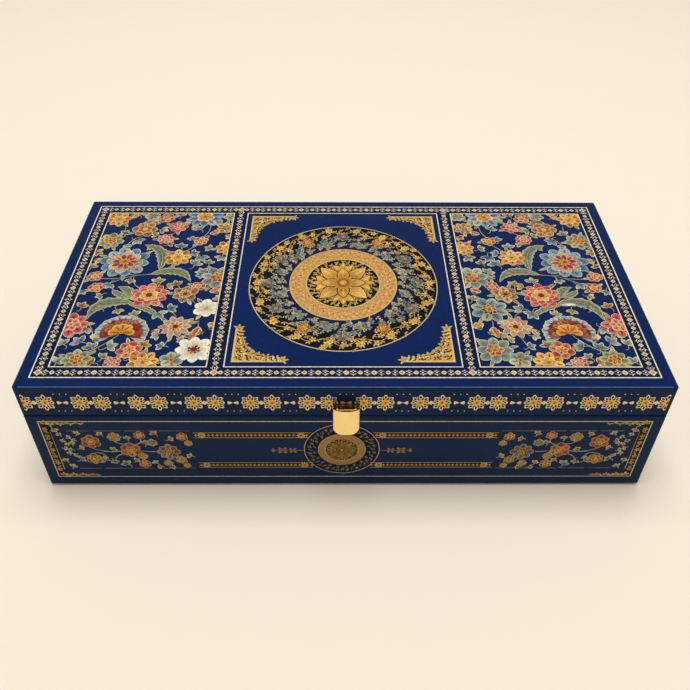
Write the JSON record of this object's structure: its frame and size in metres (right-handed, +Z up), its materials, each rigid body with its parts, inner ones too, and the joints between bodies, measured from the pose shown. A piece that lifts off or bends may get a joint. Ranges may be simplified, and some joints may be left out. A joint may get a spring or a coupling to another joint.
{
  "type": "gift chest",
  "caption": "Low rectangular gift chest of lacquered boards with painted floral ornament, a hinged lid, a bowed brass front clasp and a velvet-lined inside.",
  "frame": {"origin": "centre of the felt's underside, on the surface that the chest stands on", "axes": "+X to the right along the front, +Y from the front to the hinged back, +Z up"},
  "size_m": [0.34, 0.1826, 0.081],
  "materials": {
    "lacquered_board": "navy satin lacquer",
    "polished_brass": "polished",
    "brass_screws": "turned",
    "velvet_lining": "short velvet pile",
    "felt": "pressed felt"
  },
  "bodies": {
    "base": {"back_wall_lining": "velvet_lining", "base_back_wall": "lacquered_board", "base_felt": "felt", "base_floor_panel": "lacquered_board", "base_front_wall": "lacquered_board", "base_hinge_screws": "brass_screws", "base_left_wall": "lacquered_board", "base_right_wall": "lacquered_board", "clasp_keeper": "polished_brass", "clasp_keeper_screw": "brass_screws", "floor_lining": "velvet_lining", "front_wall_lining": "velvet_lining", "left_hinge_base_leaf": "polished_brass", "left_hinge_pin": "polished_brass", "left_wall_lining": "velvet_lining", "right_hinge_base_leaf": "polished_brass", "right_hinge_pin": "polished_brass", "right_wall_lining": "velvet_lining"},
    "lid": {"left_hinge_lid_leaf": "polished_brass", "lid_back_rim": "lacquered_board", "lid_front_rim": "lacquered_board", "lid_hinge_screws": "brass_screws", "lid_left_rim": "lacquered_board", "lid_lining": "velvet_lining", "lid_right_rim": "lacquered_board", "lid_top_panel": "lacquered_board", "right_hinge_lid_leaf": "polished_brass", "clasp_pin": "polished_brass", "clasp_bracket": "polished_brass", "clasp_bracket_screws": "brass_screws"},
    "hasp": {"clasp_hasp": "polished_brass"}
  },
  "joints": [
    {"name": "lid_hinge", "type": "hinge", "parent": "base", "child": "lid", "pos_m": [0, 0.0854, 0.0595], "axis": [-1, 0, 0], "range_deg": [0, 95]},
    {"name": "clasp_swing", "type": "hinge", "parent": "lid", "child": "hasp", "pos_m": [0, -0.0912, 0.0672], "axis": [-1, 0, 0], "range_deg": [0, 95]}
  ]
}
